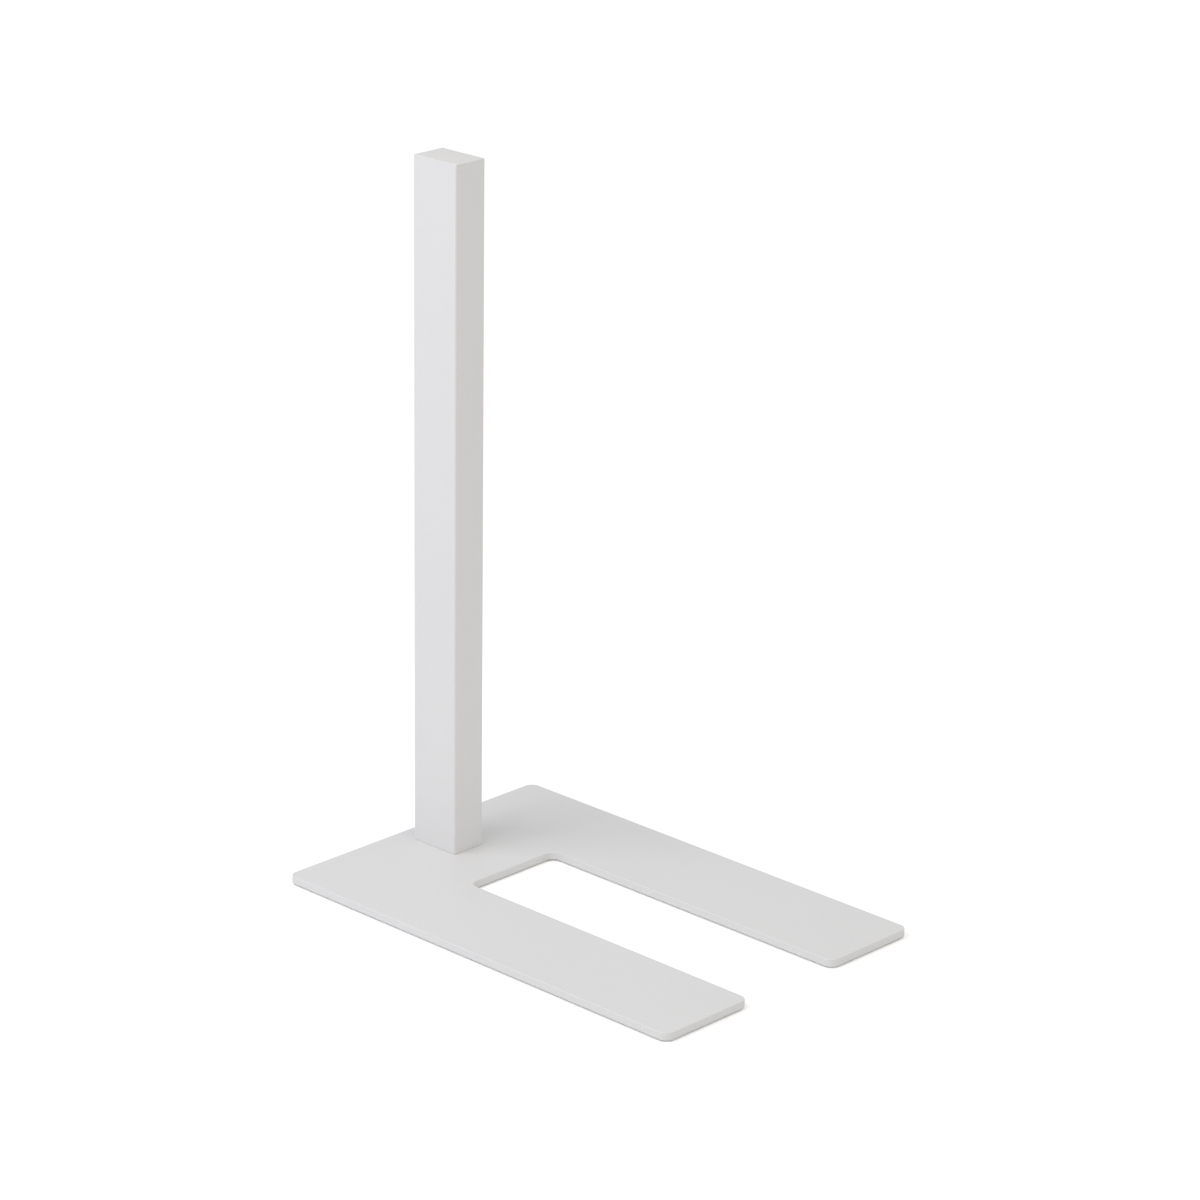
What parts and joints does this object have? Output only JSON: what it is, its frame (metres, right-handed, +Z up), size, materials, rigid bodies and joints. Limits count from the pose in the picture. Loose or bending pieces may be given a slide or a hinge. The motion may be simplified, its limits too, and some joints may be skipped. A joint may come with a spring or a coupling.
{
  "type": "partition wall stand",
  "caption": "White steel stand of a partition wall: a rectangular post on a U-shaped floor plate with a slot between its legs.",
  "frame": {"origin": "on the floor, in the middle of the floor plate's outline", "axes": "+Z up along the post; the plate's legs point along -Y and the post stands at the +Y end; X runs across the plate"},
  "size_m": [0.35, 0.525, 0.735],
  "materials": {
    "powder_coat": "satin white powder coat with a fine texture",
    "white_plastic": "satin white moulded plastic",
    "plain_steel": "sawn and drilled bare steel",
    "zinc_plate": "bright zinc plate",
    "pad_rubber": "matt black rubber"
  },
  "bodies": {
    "root": {"base_plate": "powder_coat", "post_tube": "powder_coat", "foot_insert": "plain_steel", "foot_screw_front": "zinc_plate", "foot_screw_rear": "zinc_plate", "post_cap": "white_plastic", "floor_pad_rear_left": "pad_rubber", "floor_pad_rear_right": "pad_rubber", "floor_pad_middle_left": "pad_rubber", "floor_pad_middle_right": "pad_rubber", "floor_pad_tip_left": "pad_rubber", "floor_pad_tip_right": "pad_rubber"}
  },
  "joints": []
}
